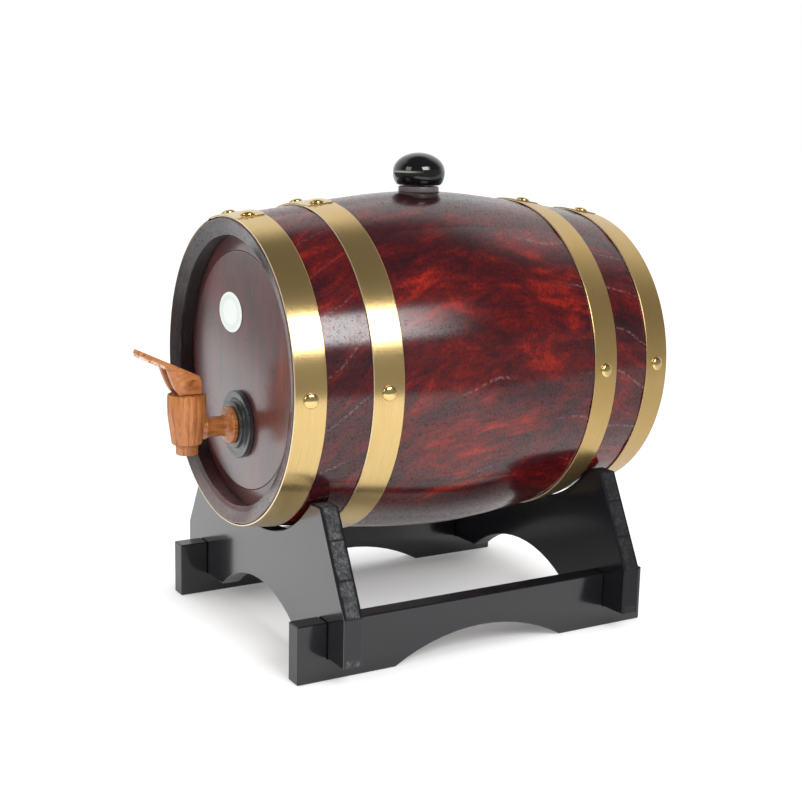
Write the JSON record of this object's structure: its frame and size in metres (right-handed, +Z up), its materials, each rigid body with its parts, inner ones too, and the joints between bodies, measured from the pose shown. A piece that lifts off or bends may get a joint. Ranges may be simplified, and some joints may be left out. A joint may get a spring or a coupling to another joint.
{
  "type": "oak cask dispenser",
  "caption": "Small hooped wooden cask lying on a slotted black stand, with a press-lever tap in its front head and a removable bung on top.",
  "frame": {"origin": "middle of the whole part's footprint, on the floor the stand's rails rest on", "axes": "+Z up; +Y along the cask's axis, away from the tap, which is at -Y; +X across the stand, towards the side the picture shows"},
  "size_m": [0.227, 0.3212, 0.2967],
  "materials": {
    "mahogany_stain": "glossy deep red-brown stain",
    "head_stain": "satin red-brown stain",
    "brushed_brass": "brushed around the hoop",
    "brass_rivet": "polished",
    "black_paint": "satin black paint",
    "black_gloss": "gloss",
    "grey_silicone": "satin",
    "wood_plastic": "satin, wood-coloured",
    "black_rubber": "satin",
    "spring_steel": "bright",
    "pale_label": "satin printed film"
  },
  "bodies": {
    "stand": {"right_rail": "black_paint", "left_rail": "black_paint", "front_saddle": "black_paint", "rear_saddle": "black_paint"},
    "cask": {"bung_stave": "mahogany_stain", "stave_02": "mahogany_stain", "stave_03": "mahogany_stain", "stave_04": "mahogany_stain", "stave_05": "mahogany_stain", "stave_06": "mahogany_stain", "stave_07": "mahogany_stain", "stave_08": "mahogany_stain", "stave_09": "mahogany_stain", "stave_10": "mahogany_stain", "stave_11": "mahogany_stain", "stave_12": "mahogany_stain", "stave_13": "mahogany_stain", "stave_14": "mahogany_stain", "stave_15": "mahogany_stain", "stave_16": "mahogany_stain", "front_head": "head_stain", "rear_head": "head_stain", "front_outer_hoop": "brushed_brass", "front_inner_hoop": "brushed_brass", "rear_inner_hoop": "brushed_brass", "rear_outer_hoop": "brushed_brass", "front_outer_hoop_rivet_1": "brass_rivet", "front_outer_hoop_rivet_2": "brass_rivet", "front_outer_hoop_right_nail": "brass_rivet", "front_outer_hoop_left_nail": "brass_rivet", "front_inner_hoop_rivet_1": "brass_rivet", "front_inner_hoop_rivet_2": "brass_rivet", "front_inner_hoop_right_nail": "brass_rivet", "front_inner_hoop_left_nail": "brass_rivet", "rear_inner_hoop_rivet_1": "brass_rivet", "rear_inner_hoop_rivet_2": "brass_rivet", "rear_inner_hoop_right_nail": "brass_rivet", "rear_inner_hoop_left_nail": "brass_rivet", "rear_outer_hoop_rivet_1": "brass_rivet", "rear_outer_hoop_rivet_2": "brass_rivet", "rear_outer_hoop_right_nail": "brass_rivet", "rear_outer_hoop_left_nail": "brass_rivet", "label": "pale_label", "tap_body": "wood_plastic", "tap_flange": "black_rubber", "tap_inner_washer": "black_rubber", "tap_nut": "wood_plastic", "tap_bonnet": "wood_plastic", "valve_spring": "spring_steel"},
    "bung": {"bung_knob": "black_gloss", "bung_stopper": "grey_silicone"},
    "valve": {"valve_stem": "wood_plastic", "valve_seal": "black_rubber", "lever_pin": "wood_plastic"},
    "lever": {"tap_lever": "wood_plastic"}
  },
  "joints": [
    {"name": "cask_lift", "type": "slide", "parent": "stand", "child": "cask", "axis": [0, 0, 1], "range_m": [0, 0.12]},
    {"name": "bung_lift", "type": "slide", "parent": "cask", "child": "bung", "axis": [0, 0, 1], "range_m": [0, 0.05]},
    {"name": "stem_lift", "type": "slide", "parent": "cask", "child": "valve", "axis": [0, 0, 1], "range_m": [0, 0.0027], "deforming": ["valve_spring"]},
    {"name": "lever_press", "type": "hinge", "parent": "valve", "child": "lever", "pos_m": [0, -0.12835, 0.1618], "axis": [1, 0, 0], "range_deg": [0, 24], "stiffness_Nm_per_rad": 0.15, "springref_deg": -20.05}
  ],
  "couplings": [
    {"joint": "stem_lift", "follows": "lever_press", "m_per_rad": 0.006207}
  ]
}
